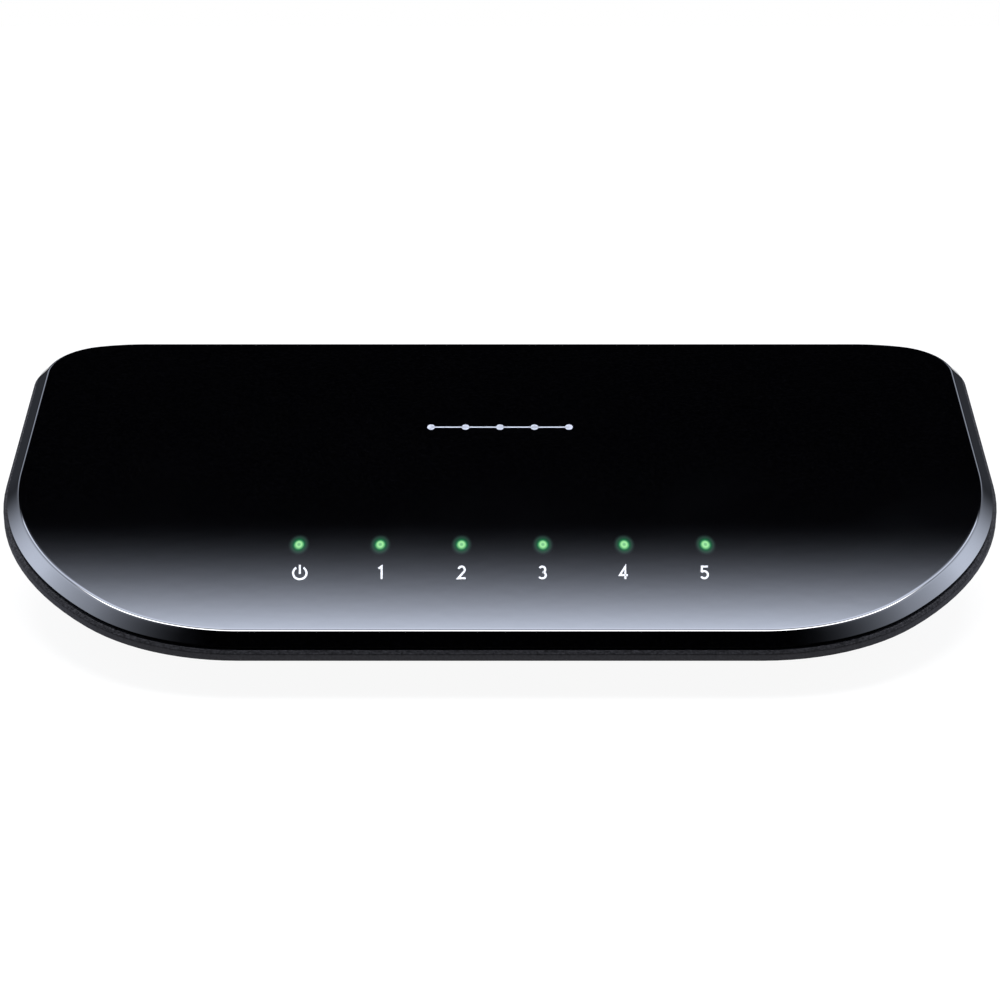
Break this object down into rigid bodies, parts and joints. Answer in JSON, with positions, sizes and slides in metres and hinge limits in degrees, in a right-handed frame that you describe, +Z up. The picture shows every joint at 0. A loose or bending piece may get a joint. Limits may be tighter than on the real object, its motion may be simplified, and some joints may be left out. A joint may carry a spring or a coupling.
{
  "type": "desktop network switch",
  "caption": "Low wedge-shaped desktop network switch with a glossy sloping deck, a row of status lights along the front and cable sockets along the back.",
  "frame": {"origin": "centre of the outline on the plane that the feet stand on", "axes": "+Z up, -Y towards the user (the status lights), +Y towards the sockets, +X to the right as the user faces the lights"},
  "size_m": [0.14, 0.0899, 0.0234],
  "materials": {
    "cover_gloss": "high gloss, moulded",
    "case_matte": "fine matte texture",
    "clear_plastic": "clear moulding lit green",
    "board_green": "green solder resist",
    "label_grey": "blank label film",
    "foot_rubber": "smooth rubber",
    "screw_steel": "dark zinc plate",
    "socket_black": "moulded",
    "plated_metal": "tin plate",
    "chip_black": "moulded epoxy",
    "pad_grey": "soft pad",
    "aluminium": "satin",
    "ceramic_tan": "fired ceramic",
    "shield_steel": "folded sheet, nickel plate",
    "contact_gold": "gold flash",
    "light_green": "lit green"
  },
  "bodies": {
    "case": {"board_screws": "screw_steel", "bottom_case": "case_matte", "bulk_capacitors": "aluminium", "case_screws": "screw_steel", "circuit_board": "board_green", "crystal": "aluminium", "heat_sink": "aluminium", "input_diode": "chip_black", "jack_carrier_1": "socket_black", "jack_carrier_2": "socket_black", "jack_carrier_3": "socket_black", "jack_carrier_4": "socket_black", "jack_carrier_5": "socket_black", "jack_housing_1": "socket_black", "jack_housing_2": "socket_black", "jack_housing_3": "socket_black", "jack_housing_4": "socket_black", "jack_housing_5": "socket_black", "jack_leads_1": "contact_gold", "jack_leads_2": "contact_gold", "jack_leads_3": "contact_gold", "jack_leads_4": "contact_gold", "jack_leads_5": "contact_gold", "jack_shield_1": "shield_steel", "jack_shield_2": "shield_steel", "jack_shield_3": "shield_steel", "jack_shield_4": "shield_steel", "jack_shield_5": "shield_steel", "led_1": "light_green", "led_2": "light_green", "led_3": "light_green", "led_4": "light_green", "led_5": "light_green", "led_power": "light_green", "light_pipe": "clear_plastic", "magnetics_1": "chip_black", "magnetics_2": "chip_black", "magnetics_3": "chip_black", "magnetics_4": "chip_black", "magnetics_5": "chip_black", "memory_chip": "chip_black", "power_inductor": "chip_black", "power_jack_body": "socket_black", "power_jack_pin": "plated_metal", "power_jack_terminal": "plated_metal", "rating_label": "label_grey", "regulator_chip": "chip_black", "rubber_feet": "foot_rubber", "small_passives": "ceramic_tan", "surface_leads": "plated_metal", "switch_chip": "chip_black", "thermal_pad": "pad_grey", "top_cover": "cover_gloss"},
    "socket_wires_1": {"jack_contacts_1": "contact_gold"},
    "socket_wires_2": {"jack_contacts_2": "contact_gold"},
    "socket_wires_3": {"jack_contacts_3": "contact_gold"},
    "socket_wires_4": {"jack_contacts_4": "contact_gold"},
    "socket_wires_5": {"jack_contacts_5": "contact_gold"},
    "power_leaf": {"power_jack_spring": "plated_metal"}
  },
  "joints": [
    {"name": "socket_wires_1_press", "type": "hinge", "parent": "case", "child": "socket_wires_1", "pos_m": [-0.0275, 0.03972, 0.0076], "axis": [1, 0, 0], "range_deg": [0, 12], "stiffness_Nm_per_rad": 0.25, "springref_deg": -5.73},
    {"name": "socket_wires_2_press", "type": "hinge", "parent": "case", "child": "socket_wires_2", "pos_m": [-0.0113, 0.03972, 0.0076], "axis": [1, 0, 0], "range_deg": [0, 12], "stiffness_Nm_per_rad": 0.25, "springref_deg": -5.73},
    {"name": "socket_wires_3_press", "type": "hinge", "parent": "case", "child": "socket_wires_3", "pos_m": [0.0049, 0.03972, 0.0076], "axis": [1, 0, 0], "range_deg": [0, 12], "stiffness_Nm_per_rad": 0.25, "springref_deg": -5.73},
    {"name": "socket_wires_4_press", "type": "hinge", "parent": "case", "child": "socket_wires_4", "pos_m": [0.0211, 0.03972, 0.0076], "axis": [1, 0, 0], "range_deg": [0, 12], "stiffness_Nm_per_rad": 0.25, "springref_deg": -5.73},
    {"name": "socket_wires_5_press", "type": "hinge", "parent": "case", "child": "socket_wires_5", "pos_m": [0.0373, 0.03972, 0.0076], "axis": [1, 0, 0], "range_deg": [0, 12], "stiffness_Nm_per_rad": 0.25, "springref_deg": -5.73},
    {"name": "power_leaf_press", "type": "hinge", "parent": "case", "child": "power_leaf", "pos_m": [-0.0424, 0.03322, 0.00785], "axis": [-1, 0, 0], "range_deg": [0, 8], "stiffness_Nm_per_rad": 0.2, "springref_deg": -2.86}
  ]
}
